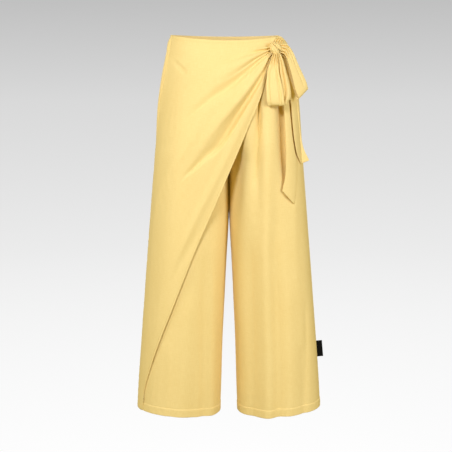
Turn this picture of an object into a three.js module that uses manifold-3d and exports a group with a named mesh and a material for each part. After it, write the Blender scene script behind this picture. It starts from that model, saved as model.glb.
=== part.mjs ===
// Wide-leg wrap trousers in woven cloth, filled out as on a figure and hollow inside.
// Millimetres. +Z is up, -Y is the front, +X is the wearer's left.
// The origin is the middle of the waist opening, level with the top of the wearer's right side seam.
import * as THREE from "three";
import { mergeVertices } from "three/addons/utils/BufferGeometryUtils.js";
import Module from "manifold-3d";

const wasm = await Module();
wasm.setup();

// Driving sizes
const CLOTH = 1.5; // thickness of a wall of cloth
const SEAM = 0.3; // space left between two pieces that are sewn together
const OUTSEAM = 936; // side seam, waist to hem
const BAND = 38; // height of the waistband
const ROUNDNESS = 2.25; // exponent of the body's and legs' sections
const DIP = { front: 12, back: 4, from: -60, to: -220 }; // how far the waist sinks at its middle
const SIDE_DIP = { drop: 26, from: 120, to: 150 }; // how far the band is crushed beside the bow, by x
const HEM_SLANT = 0.06; // the hems are square to the legs, which lean outward
const LEFT_LEG_TURN = THREE.MathUtils.degToRad(12); // the left leg is turned out at its hem
const TURN_TOP = -450; // and straight above this
const LEG_TOP = { from: -100, to: -300 }; // where the body's one section becomes two legs
const CROTCH = { top: -190, point: -300, drop: 1.5, round: 1.3 }; // the crotch curve, and its form
const CREASE = { waist: 0.38, leg: 0.5 }; // the leg's crease, as a share of half the width
const CREASE_FLAT = 0.85; // the share of the space inside the crease that isn't the crotch's
const COLUMN_SHARE = { crotch: 0.12, crease: 0.4 }; // how a panel's columns are spread over its width
const ARC_STEPS = 48; // points along a quarter of a section

// The wrap
const WRAP_START = 2.2; // how far it stands off the front at its side seam and waist
const WRAP_LIFT = 13; // and where it is loose
const WRAP_LOOSE = { side: 0.4, waist: 0.1, edge: 0.45, neck: 0.6 }; // where and how far it comes loose
const NECK_TOP = 112; // where its waist edge ends, above the knot
const NECK_BUNCH = 0.3; // how closely the fan's rays bunch toward the neck's foot

// The tie
const KNOT = { x: 110, y: -88, z: -32, width: 24, depth: 22, height: 27 };
const KNOT_BANDS = { count: 3, slant: 0.55, relief: 0.07 };
const STRAP_SIDE = 0.95; // how far round the side a strap that lies on the trousers follows them
const PLEAT_KEPT = 0.35; // the share of a strap's pleats that lasts past its gathered end
const LABEL = { width: 15, height: 41, thickness: 1.2, x: 219.8, y: -9.6, top: -763, lean: 0.09 };

// The trousers' outline, level by level. half: from the middle to the side. front, back: depths.
// seam: how far the side seam lies in front of the widest place. gap: half the space between the legs.
const BODY = [
  { z: 0, half: 141, front: 92, back: 90, seam: 26, gap: 0 },
  { z: -41, half: 151, front: 98, back: 98, seam: 28, gap: 0 },
  { z: -99, half: 163, front: 106, back: 112, seam: 28, gap: 0 },
  { z: -158, half: 171, front: 110, back: 123, seam: 26, gap: 0 },
  { z: -236, half: 177, front: 110, back: 126, seam: 22, gap: 0 },
  { z: -316, half: 183, front: 108, back: 118, seam: 18, gap: 0.3 },
  { z: -436, half: 193, front: 105, back: 110, seam: 14, gap: 1 },
  { z: -558, half: 203, front: 102, back: 106, seam: 12, gap: 7.5 },
  { z: -660, half: 211, front: 99, back: 103, seam: 11, gap: 12.5 },
  { z: -764, half: 219, front: 97, back: 100, seam: 10, gap: 17.5 },
  { z: -869, half: 227, front: 94, back: 97, seam: 9, gap: 20.5 },
  { z: -936, half: 231, front: 92, back: 95, seam: 8, gap: 23 },
];

// Soft folds of the trousers. They run down from (x, top) to (endX, end); rise is outward, in mm.
const PANEL_FOLDS = [
  { x: 96, top: -120, endX: 80, end: -900, width: 17, rise: 7 },
  { x: 73, top: -130, endX: 66, end: -400, width: 9, rise: -6 },
  { x: 50, top: -190, endX: 38, end: -470, width: 12, rise: 4 },
  { x: 48, top: -430, endX: 40, end: -860, width: 18, rise: -5 },
  { x: 118, top: -70, endX: 138, end: -390, width: 13, rise: -7 },
  { x: 108, top: -720, endX: 98, end: -936, width: 8, rise: -3 },
  { x: 142, top: -560, endX: 132, end: -936, width: 17, rise: 3.5 },
  { x: 168, top: -740, endX: 167, end: -936, width: 10, rise: -2.5 },
  { x: -40, top: -480, endX: -46, end: -936, width: 13, rise: 3.5 },
  { x: -57, top: -500, endX: -64, end: -936, width: 11, rise: -5 },
  { x: -96, top: -600, endX: -122, end: -936, width: 20, rise: 4 },
];
const BACK_FOLDS = [
  { x: 92, top: -170, endX: 96, end: -936, width: 22, rise: 8 },
  { x: 52, top: -260, endX: 58, end: -936, width: 16, rise: -5 },
  { x: 138, top: -240, endX: 150, end: -936, width: 18, rise: -5 },
  { x: -88, top: -180, endX: -100, end: -936, width: 24, rise: 8 },
  { x: -48, top: -280, endX: -54, end: -936, width: 15, rise: -5 },
  { x: -140, top: -220, endX: -146, end: -936, width: 18, rise: -6 },
];

// The wrap's free edge, from the hem corner up to the knot, seen from the front.
const WRAP_EDGE = [
  { x: -230.5, z: -930 },
  { x: -214, z: -931 },
  { x: -208, z: -882 },
  { x: -182, z: -792 },
  { x: -137, z: -667 },
  { x: -80, z: -515 },
  { x: -30, z: -399 },
  { x: 12, z: -299 },
  { x: 49, z: -208 },
  { x: 76, z: -138 },
  { x: 90, z: -79 },
  { x: 98, z: -54 },
];
// The wrap's folds are rays of its fan. v: the ray, from 0, the waist edge, to 1, the free edge;
// bend: how far it strays toward the side seam. width is in v. The fold runs from the knot to fade,
// 0 at the side seam.
const WRAP_FOLDS = [
  { v: 0.085, bend: 0, width: 0.02, fade: 0.55, rise: -4 },
  { v: 0.14, bend: 0.08, width: 0.035, fade: 0.35, rise: 4 },
  { v: 0.19, bend: 0.2, width: 0.035, fade: 0.25, rise: -6 },
  { v: 0.47, bend: 0.08, width: 0.09, fade: 0.2, rise: 6 },
  { v: 0.56, bend: 0.22, width: 0.045, fade: 0.5, rise: -9 },
  { v: 0.7, bend: -0.27, width: 0.05, fade: 0.28, rise: -3 },
  { v: 0.74, bend: 0.1, width: 0.07, fade: 0.4, rise: 6 },
];

// The tie's loops, a row for each section from the knot, round the bend and back to the knot.
// (leftX, leftZ) and (rightX, rightZ) are the two edges seen from the front, leftY and rightY their depths.
const FRONT_LOOP = [
  { leftX: 104, leftZ: -40, leftY: -94, rightX: 116, rightZ: -40, rightY: -94 },
  { leftX: 97, leftZ: -62, leftY: -99, rightX: 115, rightZ: -64, rightY: -101 },
  { leftX: 91, leftZ: -82, leftY: -107, rightX: 117, rightZ: -84, rightY: -108 },
  { leftX: 88, leftZ: -116, leftY: -116, rightX: 124, rightZ: -116, rightY: -113 },
  { leftX: 89, leftZ: -146, leftY: -121, rightX: 129, rightZ: -146, rightY: -116 },
  { leftX: 91, leftZ: -160, leftY: -119, rightX: 131, rightZ: -161, rightY: -114 },
  { leftX: 93, leftZ: -165, leftY: -113, rightX: 132, rightZ: -166, rightY: -108 },
  { leftX: 93, leftZ: -160, leftY: -107, rightX: 133, rightZ: -161, rightY: -102 },
  { leftX: 93, leftZ: -146, leftY: -105, rightX: 133, rightZ: -146, rightY: -99 },
  { leftX: 93, leftZ: -116, leftY: -102, rightX: 130, rightZ: -116, rightY: -95 },
  { leftX: 99, leftZ: -82, leftY: -95, rightX: 125, rightZ: -80, rightY: -90 },
  { leftX: 104, leftZ: -60, leftY: -89, rightX: 119, rightZ: -60, rightY: -87 },
  { leftX: 106, leftZ: -42, leftY: -85, rightX: 117, rightZ: -42, rightY: -84 },
];
const SIDE_LOOP = [
  { leftX: 112, leftZ: -36, leftY: -88, rightX: 113, rightZ: -22, rightY: -87 },
  { leftX: 130, leftZ: -44, leftY: -86, rightX: 136, rightZ: -21, rightY: -76 },
  { leftX: 136, leftZ: -62, leftY: -87, rightX: 151, rightZ: -37, rightY: -69 },
  { leftX: 142, leftZ: -95, leftY: -89, rightX: 166, rightZ: -70, rightY: -70 },
  { leftX: 152, leftZ: -130, leftY: -87, rightX: 184, rightZ: -108, rightY: -68 },
  { leftX: 162, leftZ: -150, leftY: -82, rightX: 189, rightZ: -124, rightY: -65 },
  { leftX: 164, leftZ: -154, leftY: -77, rightX: 190, rightZ: -128, rightY: -60 },
  { leftX: 163, leftZ: -149, leftY: -72, rightX: 188, rightZ: -124, rightY: -56 },
  { leftX: 155, leftZ: -129, leftY: -71, rightX: 180, rightZ: -107, rightY: -54 },
  { leftX: 144, leftZ: -95, leftY: -72, rightX: 162, rightZ: -72, rightY: -55 },
  { leftX: 138, leftZ: -64, leftY: -72, rightX: 148, rightZ: -42, rightY: -60 },
  { leftX: 126, leftZ: -47, leftY: -76, rightX: 130, rightZ: -29, rightY: -69 },
  { leftX: 112, leftZ: -37, leftY: -81, rightX: 112, rightZ: -26, rightY: -80 },
];
// The straps that lie on the trousers. lift: how far off them.
const LONG_TAIL = [
  { leftX: 108, leftZ: -42, rightX: 115, rightZ: -42, lift: 8 },
  { leftX: 111, leftZ: -55, rightX: 120, rightZ: -55, lift: 7 },
  { leftX: 113, leftZ: -75, rightX: 126, rightZ: -75, lift: 5 },
  { leftX: 121, leftZ: -129, rightX: 140, rightZ: -129, lift: 4 },
  { leftX: 131, leftZ: -170, rightX: 147, rightZ: -191, lift: 4 },
  { leftX: 136, leftZ: -240, rightX: 153, rightZ: -244, lift: 4 },
  { leftX: 137, leftZ: -300, rightX: 162, rightZ: -300, lift: 5 },
  { leftX: 135, leftZ: -335, rightX: 162, rightZ: -352, lift: 5 },
  { leftX: 128, leftZ: -369, rightX: 157, rightZ: -402, lift: 6 },
];
const SHORT_TAIL = [
  { leftX: 114, leftZ: -40, rightX: 119, rightZ: -38, lift: 3 },
  { leftX: 121, leftZ: -52, rightX: 128, rightZ: -50, lift: 3 },
  { leftX: 129, leftZ: -74, rightX: 140, rightZ: -72, lift: 4 },
  { leftX: 138, leftZ: -110, rightX: 155, rightZ: -110, lift: 4 },
  { leftX: 149, leftZ: -162, rightX: 167, rightZ: -170, lift: 5 },
  { leftX: 154, leftZ: -215, rightX: 172, rightZ: -222, lift: 6 },
  { leftX: 162, leftZ: -272, rightX: 180, rightZ: -268, lift: 6 },
  { leftX: 175, leftZ: -309, rightX: 195, rightZ: -301, lift: 8 },
];
const TIE_ROOT = [
  { leftX: 115, leftZ: -3.5, rightX: 129, rightZ: -9, lift: 3 },
  { leftX: 109, leftZ: -13, rightX: 126, rightZ: -19, lift: 5 },
  { leftX: 106, leftZ: -26, rightX: 118, rightZ: -28, lift: 10 },
];

const { clamp, lerp, smoothstep } = THREE.MathUtils;

// One column of a table of rows, joined smoothly. key names what the rows are ordered by.
function column(rows, key, name, at) {
  const down = rows[0][key] > rows[rows.length - 1][key] ? -1 : 1;
  let i = 0;
  while (i < rows.length - 2 && down * at > down * rows[i + 1][key]) i += 1;
  const slope = (j) => {
    const a = rows[Math.max(j - 1, 0)];
    const b = rows[Math.min(j + 1, rows.length - 1)];
    return (b[name] - a[name]) / (b[key] - a[key]);
  };
  const [a, b] = [rows[i], rows[i + 1]];
  const span = b[key] - a[key];
  const t = clamp((at - a[key]) / span, 0, 1);
  const u = 1 - t;
  return (
    a[name] * (1 + 2 * t) * u * u +
    slope(i) * span * t * u * u +
    b[name] * (3 - 2 * t) * t * t -
    slope(i + 1) * span * t * t * u
  );
}

const body = (name, z) => column(BODY, "z", name, z);
const fall = (z, from, to) => smoothstep(-z, -from, -to); // 0 above from, 1 below to

// x of a leg's middle. It starts from the centre, because the body is one section at the waist.
function legCentre(z) {
  const middle = (body("half", z) + body("gap", z)) / 2;
  return Math.max(fall(z, LEG_TOP.from, LEG_TOP.to) * middle, 1);
}

// How much of a leg's inner curve the section has: about 0 above the crotch curve, 1 below it.
function legShare(z) {
  const height = clamp((z - CROTCH.point) / (CROTCH.top - CROTCH.point), 0, 1);
  return Math.max((1 - height ** CROTCH.drop) ** CROTCH.round, 0.06);
}

// Adds the points of an arc between two angles to a line, each with its distance along the line.
// place takes the superellipse's sine and cosine.
function addArc(line, from, to, place) {
  const power = 2 / ROUNDNESS;
  for (let i = 0; i <= ARC_STEPS; i += 1) {
    const angle = lerp(from, to, i / ARC_STEPS);
    const [x, y] = place(Math.max(Math.sin(angle), 0) ** power, Math.max(Math.cos(angle), 0) ** power);
    const last = line[line.length - 1];
    const run = last ? Math.hypot(x - last.x, y - last.y) : 1;
    if (run > 1e-4) line.push({ x, y, at: last ? last.at + run : 0 });
  }
}

// The distance along a line at which value, a coordinate's name, first passes limit.
function distanceTo(line, value, limit, start = 0) {
  const rising = line[start][value] < limit;
  const i = line.findIndex((p, n) => n > start && p[value] > limit === rising);
  const [a, b] = [line[i - 1], line[i]];
  return lerp(a.at, b.at, (limit - a[value]) / (b[value] - a[value]));
}

// The section of the wearer's left half, as a line from the centre front round the side to the
// centre back, with the distances along it to the leg's front crease, side seam and back crease.
function makeSection(z) {
  const [half, front, back, gap] = ["half", "front", "back", "gap"].map((name) => body(name, z));
  const centre = legCentre(z);
  const quarter = Math.PI / 2;
  const crotch = Math.asin(legShare(z) ** (ROUNDNESS / 2)); // the inner curve starts at this angle
  const reach = (centre - gap) / legShare(z);
  const line = [];
  addArc(line, crotch, 0, (s, c) => [centre - reach * s, -front * c]);
  addArc(line, quarter, 0, (s, c) => [centre + (half - centre) * c, -front * s]);
  const widest = line.length - 1;
  addArc(line, 0, quarter, (s, c) => [centre + (half - centre) * c, back * s]);
  addArc(line, 0, crotch, (s, c) => [centre - reach * s, back * c]);
  const crease = half * lerp(CREASE.waist, CREASE.leg, fall(z, LEG_TOP.from, LEG_TOP.to));
  const { at: length } = line[line.length - 1];
  const beside = line.findIndex((p) => p.x > half * 0.9);
  return {
    line,
    centre,
    crease,
    length,
    frontCrease: distanceTo(line, "x", crease),
    seam: distanceTo(line, "y", -body("seam", z), beside),
    backCrease: distanceTo(line, "x", crease, widest),
  };
}

// Sections are kept by their level, because each is used many times.
const sections = new Map();
function sectionAt(z) {
  const key = z.toFixed(3);
  if (!sections.has(key)) sections.set(key, makeSection(z));
  return sections.get(key);
}

// A place on a line by its distance along it, with the direction that faces outward.
function along(line, at) {
  let i = 1;
  while (i < line.length - 1 && line[i].at < at) i += 1;
  const [a, b] = [line[i - 1], line[i]];
  const t = (at - a.at) / (b.at - a.at);
  const run = Math.hypot(b.x - a.x, b.y - a.y);
  return {
    x: lerp(a.x, b.x, t),
    y: lerp(a.y, b.y, t),
    outX: (b.y - a.y) / run,
    outY: -(b.x - a.x) / run,
  };
}

// How far the folds raise the cloth at (x, z). A fold fades in over its top and out over its end.
function foldRise(folds, x, z) {
  return folds.reduce((sum, fold) => {
    const t = (z - fold.top) / (fold.end - fold.top);
    const tail = fold.end <= -OUTSEAM ? 1 : 1 - smoothstep(t, 0.75, 1);
    const off = (x - lerp(fold.x, fold.endX, clamp(t, 0, 1))) / fold.width;
    return sum + fold.rise * smoothstep(t, 0, 0.18) * tail * Math.exp(-off * off);
  }, 0);
}

// The height of a point at (x, y) on the level z: the waist sinks between the side seams, the band
// is crushed beside the bow, and the hems are square to the legs.
function heightOf(x, y, z) {
  const half = body("half", z);
  const dip = (y < 0 ? DIP.front : DIP.back) * (1 - (x / half) ** 2) * (1 - fall(z, DIP.from, DIP.to));
  const sideDip = SIDE_DIP.drop * smoothstep(x, SIDE_DIP.from, SIDE_DIP.to) * Math.max(1 + z / BAND, 0);
  const outward = Math.abs(x) - (half + body("gap", z)) / 2;
  return z - dip - sideDip + outward * HEM_SLANT * fall(z, -600, -OUTSEAM);
}

// A point of the trousers. side is 1 for the wearer's left and -1 for the right.
function bodyPoint(side, at, z, folds = []) {
  const { line, centre } = sectionAt(z);
  const p = along(line, at);
  const facing = clamp(Math.abs(p.outY) * 1.6, 0, 1); // folds fade out where the cloth turns sideways
  const rise = foldRise(folds, side * p.x, z) * facing;
  const turn = side > 0 ? LEFT_LEG_TURN * fall(z, TURN_TOP, -OUTSEAM) : 0;
  const dx = p.x + p.outX * rise - centre;
  const dy = p.y + p.outY * rise;
  const x = centre + dx * Math.cos(turn) - dy * Math.sin(turn);
  const y = dx * Math.sin(turn) + dy * Math.cos(turn);
  return new THREE.Vector3(side * x, y, heightOf(side * x, y, z));
}

// A wall of cloth over the surface place(u, v), whose points are its outer face.
// us and vs are the places of its columns and rows. face is 1 where u crossed with v points outward.
function clothWall(place, us, vs, face) {
  const step = 1e-3;
  const outer = [];
  const inner = [];
  for (const v of vs)
    for (const u of us) {
      const p = place(u, v);
      const alongU = place(u + step, v).sub(place(u - step, v));
      const alongV = place(u, v + step).sub(place(u, v - step));
      const normal = alongU.cross(alongV).normalize().multiplyScalar(face);
      outer.push(p);
      inner.push(p.clone().addScaledVector(normal, -CLOTH));
    }
  const [columns, rows] = [us.length, vs.length];
  const under = outer.length;
  const at = (i, j) => j * columns + i;
  const triangles = [];
  const quad = (a, b, c, d) => triangles.push(a, b, c, a, c, d);
  for (let j = 0; j < rows - 1; j += 1)
    for (let i = 0; i < columns - 1; i += 1) {
      const [a, b, c, d] = [at(i, j), at(i + 1, j), at(i + 1, j + 1), at(i, j + 1)];
      quad(a, b, c, d);
      quad(under + a, under + d, under + c, under + b);
    }
  const rim = [];
  for (let i = 0; i < columns - 1; i += 1) rim.push(at(i, 0));
  for (let j = 0; j < rows - 1; j += 1) rim.push(at(columns - 1, j));
  for (let i = columns - 1; i > 0; i -= 1) rim.push(at(i, rows - 1));
  for (let j = rows - 1; j > 0; j -= 1) rim.push(at(0, j));
  rim.forEach((a, i) => {
    const b = rim[(i + 1) % rim.length];
    quad(b, a, under + a, under + b);
  });
  const reversed = face * (vs[1] - vs[0]) < 0;
  if (reversed) triangles.reverse();
  const geometry = new THREE.BufferGeometry();
  const points = [...outer, ...inner].flatMap((p) => p.toArray());
  geometry.setAttribute("position", new THREE.Float32BufferAttribute(points, 3));
  geometry.setIndex(triangles);
  return geometry;
}

const evenly = (count, from = 0, to = 1) =>
  Array.from({ length: count }, (_, i) => lerp(from, to, i / (count - 1)));

// Levels of the panels' rows, closer together toward the crotch point.
function levels(top, above, curve, below) {
  const ease = (t) => Math.sin((t * Math.PI) / 2);
  return [
    ...evenly(above, top, CROTCH.top),
    ...evenly(curve).slice(1).map((t) => lerp(CROTCH.top, CROTCH.point, ease(t))),
    ...evenly(below, CROTCH.point, -OUTSEAM).slice(1),
  ];
}

// A distance across a panel: u is 0 at its centre seam or inseam, and 1 at its side seam.
// The first columns take up the crotch's extra width, so that the others run straight down the leg.
function across(u, crease, creaseX, width) {
  const extra = crease - creaseX * CREASE_FLAT;
  const { crotch, crease: middle } = COLUMN_SHARE;
  if (u < crotch) return (extra * u) / crotch;
  if (u < middle) return lerp(extra, crease, (u - crotch) / (middle - crotch));
  return lerp(crease, width, (u - middle) / (1 - middle));
}

function frontPanel(side, columns, rows) {
  const place = (u, z) => {
    const cut = sectionAt(z);
    const at = SEAM / 2 + across(u, cut.frontCrease, cut.crease, cut.seam - SEAM);
    return bodyPoint(side, at, z, PANEL_FOLDS);
  };
  return clothWall(place, evenly(columns), rows, side);
}

function backPanel(side, columns, rows) {
  const place = (u, z) => {
    const cut = sectionAt(z);
    const width = cut.length - cut.seam - SEAM;
    const at = cut.length - SEAM / 2 - across(u, cut.length - cut.backCrease, cut.crease, width);
    return bodyPoint(side, at, z, BACK_FOLDS);
  };
  return clothWall(place, evenly(columns), rows, -side);
}

// The waistband's front or back piece, from side seam to side seam. u is 0 at its middle.
function waistband(isFront, columns) {
  const place = (u, z) => {
    const { seam, length } = sectionAt(z);
    const side = u < 0 ? -1 : 1;
    const at = isFront
      ? lerp(0, seam - SEAM / 2, Math.abs(u))
      : lerp(length, seam + SEAM / 2, Math.abs(u));
    const p = bodyPoint(side, at, z);
    if (u === 0) p.x = 0;
    return p;
  };
  return clothWall(place, evenly(columns, -1, 1), evenly(3, 0, -BAND), isFront ? 1 : -1);
}

// The shape that the wrap and the tie lie over is both legs' fronts and the space between them.
// Its section is a line from the centre front to the widest place.
const coverLines = new Map();
function coverLine(z) {
  const key = z.toFixed(3);
  if (coverLines.has(key)) return coverLines.get(key);
  const [half, front] = [body("half", z), body("front", z)];
  const centre = legCentre(z);
  const line = [{ x: 0, y: -front, at: 0 }];
  addArc(line, 0, Math.PI / 2, (s, c) => [centre + (half - centre) * s, -front * c]);
  coverLines.set(key, line);
  return line;
}

// Depth of that shape at x. limit keeps it from falling away round the side.
function coverDepth(x, z, limit) {
  const centre = legCentre(z);
  const share = clamp((Math.abs(x) - centre) / (body("half", z) - centre), 0, limit);
  return body("front", z) * (1 - share ** ROUNDNESS) ** (1 / ROUNDNESS);
}

// Distances round that shape are less than 0 on the wearer's right.
const coverDistance = (x, z) => Math.sign(x) * distanceTo(coverLine(z), "x", Math.abs(x));
const seamDistance = (z) => distanceTo(coverLine(z), "y", -body("seam", z), 1);

// A point lifted off that shape, square to it.
function liftedPoint(distance, z, lift) {
  const side = distance < 0 ? -1 : 1;
  const p = along(coverLine(z), Math.abs(distance));
  const x = side * (p.x + p.outX * lift);
  return new THREE.Vector3(x, p.y + p.outY * lift, heightOf(side * p.x, p.y, z));
}

// The level of a place on the front that is seen at a height.
function levelOf(x, height) {
  let z = height;
  for (let i = 0; i < 4; i += 1) z = clamp(z + height - heightOf(x, -1, z), -OUTSEAM, 0);
  return z;
}

// The wrap is laid out by distance round the front and level. This is its free edge so laid out.
const edgeRows = [];
for (const { x, z: height } of WRAP_EDGE) {
  const z = levelOf(x, height);
  const distance = coverDistance(x, z);
  const last = edgeRows[edgeRows.length - 1];
  const at = last ? last.at + Math.hypot(distance - last.distance, z - last.z) : 0;
  edgeRows.push({ distance, z, at });
}
const edgeTop = edgeRows[edgeRows.length - 1];
function edgePlace(u) {
  const at = clamp(u, 0, 1) * edgeTop.at;
  return { distance: column(edgeRows, "at", "distance", at), z: column(edgeRows, "at", "z", at) };
}

// The wrap's other borders: the waist, the side seam and the gathered neck at the knot.
const waistPlace = (u) => ({ distance: lerp(-seamDistance(0), coverDistance(NECK_TOP, 0), u), z: 0 });
function sidePlace(v) {
  const z = -OUTSEAM * clamp(v, 0, 1);
  return { distance: -seamDistance(z), z };
}
function neckPlace(v) {
  const share = clamp(v, 0, 1) ** NECK_BUNCH;
  const distance = lerp(edgeTop.distance, waistPlace(1).distance, (1 - share) ** 2);
  return { distance, z: lerp(0, edgeTop.z, share) };
}

// A place of the wrap, blended between its four borders. u runs from the side seam to the knot,
// and v from the waist to the free edge.
function wrapPlan(u, v) {
  const [waist, edge, side, neck] = [waistPlace(u), edgePlace(u), sidePlace(v), neckPlace(v)];
  const [waistEnds, edgeEnds] = [[0, 1].map(waistPlace), [0, 1].map(edgePlace)];
  const straight = (ends, name) => lerp(ends[0][name], ends[1][name], u);
  const blend = (name) =>
    lerp(waist[name], edge[name], v) +
    lerp(side[name], neck[name], u) -
    lerp(straight(waistEnds, name), straight(edgeEnds, name), v);
  return { distance: blend("distance"), z: clamp(blend("z"), -OUTSEAM, 0) };
}

function wrapFolds(u, v) {
  return WRAP_FOLDS.reduce((sum, fold) => {
    const off = (v - fold.v - fold.bend * (1 - u)) / fold.width;
    const ends = smoothstep(u, fold.fade, fold.fade + 0.35) * (1 - 0.75 * smoothstep(u, 0.7, 1));
    return sum + fold.rise * ends * Math.exp(-off * off);
  }, 0);
}

function wrapPoint(u, v) {
  const { distance, z } = wrapPlan(u, v);
  const loose =
    smoothstep(u, 0, WRAP_LOOSE.side) *
    smoothstep(v, 0, WRAP_LOOSE.waist) *
    (1 - WRAP_LOOSE.edge * smoothstep(v, 0.85, 1)) *
    (1 - WRAP_LOOSE.neck * smoothstep(u, 0.75, 1));
  return liftedPoint(distance, z, lerp(WRAP_START, WRAP_LIFT, loose) + wrapFolds(u, v));
}

// The columns are closer together round the side, where the cloth bends.
const wrapWall = (columns, rows) =>
  clothWall(wrapPoint, evenly(columns).map((t) => t ** 1.5), evenly(rows), -1);

function solidOf(geometry) {
  const vertProperties = geometry.getAttribute("position").array;
  const triVerts = Uint32Array.from(geometry.index.array);
  return new wasm.Manifold(new wasm.Mesh({ numProp: 3, vertProperties, triVerts }));
}

// Cuts a solid away from a piece and keeps the largest part that is left.
function cutAway(geometry, solid) {
  const pieces = solidOf(geometry).subtract(solid).decompose();
  const kept = pieces.reduce((a, b) => (a.volume() > b.volume() ? a : b));
  const mesh = kept.getMesh();
  const result = new THREE.BufferGeometry();
  result.setAttribute("position", new THREE.BufferAttribute(mesh.vertProperties, 3));
  result.setIndex(new THREE.BufferAttribute(mesh.triVerts, 1));
  return result;
}

// The knot is a rounded lump crossed by slanting bands of cloth. extra is how much larger to make it.
function knot(extra = 0) {
  const geometry = new THREE.SphereGeometry(1, 20, 14);
  geometry.deleteAttribute("normal");
  geometry.deleteAttribute("uv");
  const position = geometry.getAttribute("position");
  const p = new THREE.Vector3();
  for (let i = 0; i < position.count; i += 1) {
    p.fromBufferAttribute(position, i);
    const place = p.x * Math.cos(KNOT_BANDS.slant) + p.z * Math.sin(KNOT_BANDS.slant);
    const band = 0.5 * (1 + KNOT_BANDS.relief * Math.cos(place * Math.PI * KNOT_BANDS.count));
    const size = [KNOT.width, KNOT.depth, KNOT.height].map((full) => full * band + extra);
    position.setXYZ(i, KNOT.x + p.x * size[0], KNOT.y + p.y * size[1], KNOT.z + p.z * size[2]);
  }
  return mergeVertices(geometry, 1e-4);
}

// A strap of the tie between the edges in rows, gathered into pleats where it is narrow.
// depthAt gives its depth from a row reader, u, x and z, and ends is 2 where both ends are gathered.
function strap(rows, columns, steps, pleats, depthAt, ends) {
  const numbered = rows.map((row, i) => ({ ...row, i }));
  const place = (u, v) => {
    const pick = (name) => column(numbered, "i", name, clamp(v, 0, 1) * (rows.length - 1));
    const x = lerp(pick("leftX"), pick("rightX"), u);
    const z = lerp(pick("leftZ"), pick("rightZ"), u);
    const fromEnd = ends === 2 ? Math.min(v, 1 - v) : v;
    const gathered = 1 - smoothstep(fromEnd, 0, 0.3);
    const pleat = pleats.depth * lerp(PLEAT_KEPT, 1, gathered) * Math.cos(u * Math.PI * 2 * pleats.count);
    return new THREE.Vector3(x, depthAt(pick, u, x, z) - pleat, z);
  };
  return clothWall(place, evenly(columns), evenly(steps), -1);
}
const hanging = (pick, u) => lerp(pick("leftY"), pick("rightY"), u);
const lying = (pick, u, x, z) => -coverDepth(x, z, STRAP_SIDE) - pick("lift");
const loop = (rows) => strap(rows, 8, 26, { count: 2, depth: 1.2 }, hanging, 2);
const tail = (rows) => strap(rows, 7, 20, { count: 1, depth: 0.8 }, lying, 1);
const root = (rows) => strap(rows, 13, 6, { count: 3, depth: 1 }, lying, 1);

function label() {
  const geometry = new THREE.BoxGeometry(LABEL.width, LABEL.thickness, LABEL.height);
  geometry.translate(LABEL.width / 2, -LABEL.thickness / 2, -LABEL.height / 2);
  geometry.rotateY(-LABEL.lean);
  return geometry;
}

const cloth = new THREE.MeshStandardMaterial({ color: 0xf6db92, roughness: 0.85, metalness: 0 });
const tape = new THREE.MeshStandardMaterial({ color: 0x141416, roughness: 0.6, metalness: 0 });

const trousers = new THREE.Group();
function add(name, geometry, material = cloth) {
  const mesh = new THREE.Mesh(geometry, material);
  mesh.name = name;
  trousers.add(mesh);
  return mesh;
}

const panelRows = levels(-BAND - SEAM, 5, 6, 9);
add("waistband_front", waistband(true, 23));
add("waistband_back", waistband(false, 23));
add("front_left", frontPanel(1, 25, panelRows));
add("front_right", frontPanel(-1, 15, panelRows));
add("back_left", backPanel(1, 15, panelRows));
add("back_right", backPanel(-1, 15, panelRows));

// What runs into the knot is cut to it.
add("bow_knot", knot());
const knotSpace = solidOf(knot(SEAM));
const gatheredPieces = {
  wrap_panel: wrapWall(28, 27),
  bow_loop_front: loop(FRONT_LOOP),
  bow_loop_side: loop(SIDE_LOOP),
  tie_tail_long: tail(LONG_TAIL),
  tie_tail_short: tail(SHORT_TAIL),
  tie_root: root(TIE_ROOT),
};
for (const [name, geometry] of Object.entries(gatheredPieces)) add(name, cutAway(geometry, knotSpace));

add("label_tab", label(), tape).position.set(LABEL.x, LABEL.y, LABEL.top);

export default trousers;
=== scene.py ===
"""Wide-leg wrap trousers: cloth, sewing, label, studio light and camera.

Sizes are in millimetres until a mesh is made. +Z is up, -Y is the front, +X is the wearer's left.
"""

import math

import bpy
import numpy as np
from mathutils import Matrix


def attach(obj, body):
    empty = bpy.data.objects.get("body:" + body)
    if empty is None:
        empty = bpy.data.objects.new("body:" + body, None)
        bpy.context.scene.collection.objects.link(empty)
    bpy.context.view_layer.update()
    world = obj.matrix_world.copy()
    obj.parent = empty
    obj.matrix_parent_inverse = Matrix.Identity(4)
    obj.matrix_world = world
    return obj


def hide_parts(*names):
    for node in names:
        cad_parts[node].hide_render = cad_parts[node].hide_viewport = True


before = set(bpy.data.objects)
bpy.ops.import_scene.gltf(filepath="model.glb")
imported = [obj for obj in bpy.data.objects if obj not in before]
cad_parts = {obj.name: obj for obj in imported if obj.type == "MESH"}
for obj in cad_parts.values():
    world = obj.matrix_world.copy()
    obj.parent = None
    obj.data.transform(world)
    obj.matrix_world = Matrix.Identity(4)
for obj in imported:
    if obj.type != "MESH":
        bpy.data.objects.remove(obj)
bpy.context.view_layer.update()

MM = 0.001


def table(names, rows):
    """Rows of numbers as named columns."""
    return dict(zip(names.split(), np.array(rows, float).T))


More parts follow.
